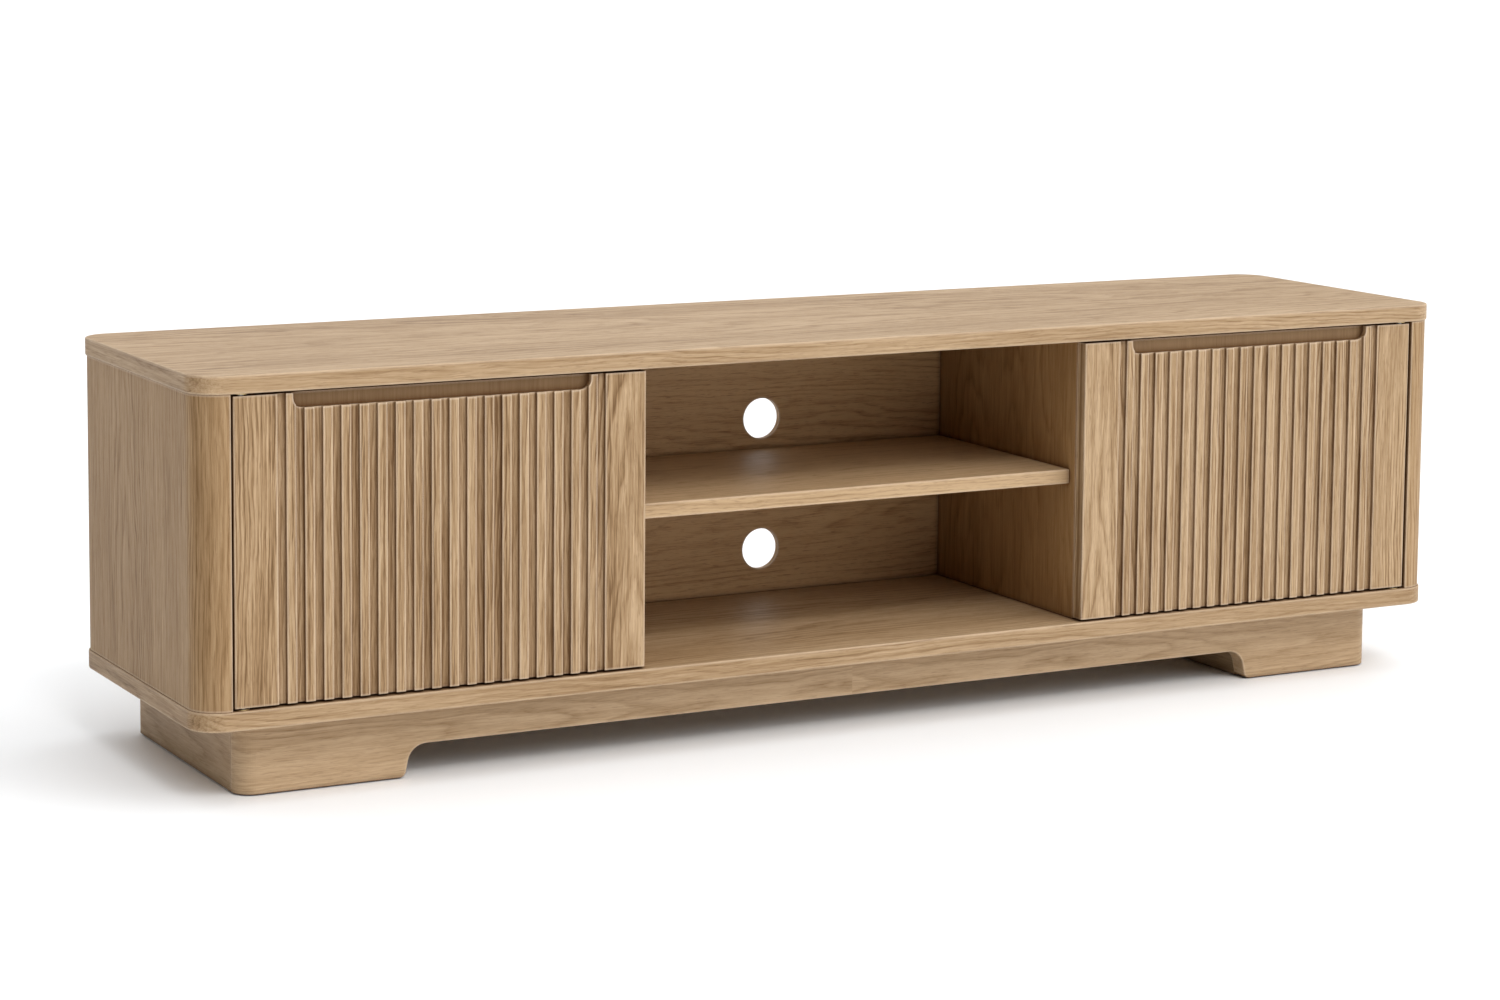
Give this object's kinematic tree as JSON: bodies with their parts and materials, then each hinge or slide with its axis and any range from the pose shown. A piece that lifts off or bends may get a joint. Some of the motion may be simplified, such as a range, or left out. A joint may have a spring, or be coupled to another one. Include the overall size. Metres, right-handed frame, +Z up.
{
  "type": "media cabinet",
  "caption": "Low oak media cabinet with fluted hinged doors either side of an open bay with a shelf and cable holes, on a recessed arched plinth.",
  "frame": {"origin": "on the floor under the middle of the cabinet, at the bottom centre of its bounding box", "axes": "+X along the length to the viewer's right, +Y from the doors to the back, +Z up"},
  "size_m": [1.8, 0.44, 0.51],
  "materials": {
    "oak": "natural oak veneer, satin lacquer",
    "oak_inside": "natural oak veneer inside, satin lacquer",
    "steel": "zinc plated",
    "brass": "plain turned",
    "dark_plastic": "matte",
    "clear_rubber": "translucent soft",
    "felt": "pressed felt"
  },
  "bodies": {
    "cabinet": {"back_panel_centre": "oak_inside", "back_panel_left": "oak_inside", "back_panel_right": "oak_inside", "bottom_panel": "oak", "centre_shelf": "oak_inside", "glide_left_cross_front": "felt", "glide_left_cross_rear": "felt", "glide_left_side_front": "felt", "glide_left_side_rear": "felt", "glide_right_cross_front": "felt", "glide_right_cross_rear": "felt", "glide_right_side_front": "felt", "glide_right_side_rear": "felt", "inner_shelf_left": "oak_inside", "inner_shelf_right": "oak_inside", "magnet_catch_left": "dark_plastic", "magnet_catch_right": "dark_plastic", "partition_left": "oak_inside", "partition_right": "oak_inside", "pivot_bush_left_base": "brass", "pivot_bush_left_top": "brass", "pivot_bush_right_base": "brass", "pivot_bush_right_top": "brass", "plinth_cross_left": "oak_inside", "plinth_cross_right": "oak_inside", "plinth_front_rail": "oak", "plinth_rear_rail": "oak", "plinth_side_left": "oak", "plinth_side_right": "oak", "shelf_pin_left_inner_front": "steel", "shelf_pin_left_inner_rear": "steel", "shelf_pin_left_outer_front": "steel", "shelf_pin_left_outer_rear": "steel", "shelf_pin_right_inner_front": "steel", "shelf_pin_right_inner_rear": "steel", "shelf_pin_right_outer_front": "steel", "shelf_pin_right_outer_rear": "steel", "side_lining_left": "oak_inside", "side_lining_right": "oak_inside", "side_shell_left": "oak", "side_shell_right": "oak", "top_panel": "oak"},
    "left_door": {"door_bumper_left_high": "clear_rubber", "door_bumper_left_low": "clear_rubber", "door_left": "oak", "pivot_pin_left_base": "steel", "pivot_pin_left_top": "steel", "strike_plate_left": "steel"},
    "right_door": {"door_bumper_right_high": "clear_rubber", "door_bumper_right_low": "clear_rubber", "door_right": "oak", "pivot_pin_right_base": "steel", "pivot_pin_right_top": "steel", "strike_plate_right": "steel"}
  },
  "joints": [
    {"name": "left_door_hinge", "type": "hinge", "parent": "cabinet", "child": "left_door", "pos_m": [-0.841, -0.208, 0.3], "axis": [0, 0, -1], "range_deg": [0, 100]},
    {"name": "right_door_hinge", "type": "hinge", "parent": "cabinet", "child": "right_door", "pos_m": [0.841, -0.208, 0.3], "axis": [0, 0, 1], "range_deg": [0, 100]}
  ]
}
